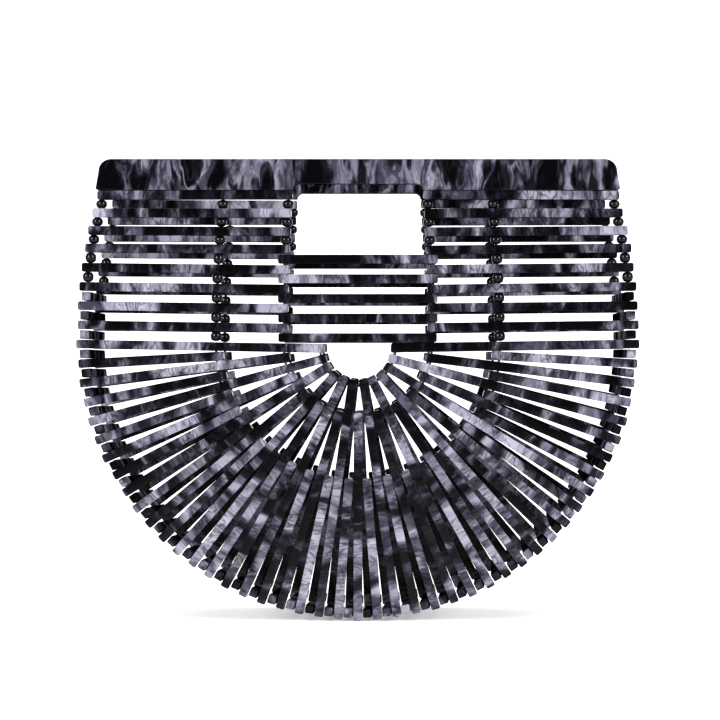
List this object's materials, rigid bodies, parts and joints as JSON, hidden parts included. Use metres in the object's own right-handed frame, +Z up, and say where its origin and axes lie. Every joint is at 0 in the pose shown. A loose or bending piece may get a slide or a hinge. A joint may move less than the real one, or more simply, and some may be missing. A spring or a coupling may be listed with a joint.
{
  "type": "acrylic handbag",
  "caption": "Half-moon top-handle handbag of marbled acrylic slats: fan-shaped front and back panels with grip bars, joined round the rim by cross slats, open at the top.",
  "frame": {"origin": "on the ground under the middle of the bag, where its curved underside rests", "axes": "+X to the right across the width, +Y from the front panel to the back panel, +Z up to the grip bars"},
  "size_m": [0.2404, 0.088, 0.1971],
  "materials": {
    "grip_acrylic": "polished, marbled black and smoky grey",
    "slat_acrylic": "polished, marbled black and smoky grey",
    "bead_plastic": "moulded, glossy black",
    "string_nylon": "black braided nylon"
  },
  "bodies": {
    "root": {"front_handle": "grip_acrylic", "front_fan": "slat_acrylic", "front_left_rows": "slat_acrylic", "front_right_rows": "slat_acrylic", "front_centre_slats": "slat_acrylic", "back_handle": "grip_acrylic", "back_fan": "slat_acrylic", "back_left_rows": "slat_acrylic", "back_right_rows": "slat_acrylic", "back_centre_slats": "slat_acrylic", "cross_slat_01": "slat_acrylic", "cross_slat_02": "slat_acrylic", "cross_slat_03": "slat_acrylic", "cross_slat_04": "slat_acrylic", "cross_slat_05": "slat_acrylic", "cross_slat_06": "slat_acrylic", "cross_slat_07": "slat_acrylic", "cross_slat_08": "slat_acrylic", "cross_slat_09": "slat_acrylic", "cross_slat_10": "slat_acrylic", "cross_slat_11": "slat_acrylic", "cross_slat_12": "slat_acrylic", "cross_slat_13": "slat_acrylic", "cross_slat_14": "slat_acrylic", "cross_slat_15": "slat_acrylic", "cross_slat_16": "slat_acrylic", "cross_slat_17": "slat_acrylic", "cross_slat_18": "slat_acrylic", "cross_slat_19": "slat_acrylic", "cross_slat_20": "slat_acrylic", "cross_slat_21": "slat_acrylic", "cross_slat_22": "slat_acrylic", "cross_slat_23": "slat_acrylic", "cross_slat_24": "slat_acrylic", "cross_slat_25": "slat_acrylic", "cross_slat_26": "slat_acrylic", "cross_slat_27": "slat_acrylic", "cross_slat_28": "slat_acrylic", "cross_slat_29": "slat_acrylic", "cross_slat_30": "slat_acrylic", "cross_slat_31": "slat_acrylic", "cross_slat_32": "slat_acrylic", "cross_slat_33": "slat_acrylic", "cross_slat_34": "slat_acrylic", "cross_slat_35": "slat_acrylic", "cross_slat_36": "slat_acrylic", "cross_slat_37": "slat_acrylic", "cross_slat_38": "slat_acrylic", "cross_slat_39": "slat_acrylic", "cross_slat_40": "slat_acrylic", "cross_slat_41": "slat_acrylic", "cross_slat_42": "slat_acrylic", "cross_slat_43": "slat_acrylic", "cross_slat_44": "slat_acrylic", "cross_slat_45": "slat_acrylic", "cross_slat_46": "slat_acrylic", "cross_slat_47": "slat_acrylic", "cross_slat_48": "slat_acrylic", "cross_slat_49": "slat_acrylic", "cross_slat_50": "slat_acrylic"}
  },
  "joints": []
}
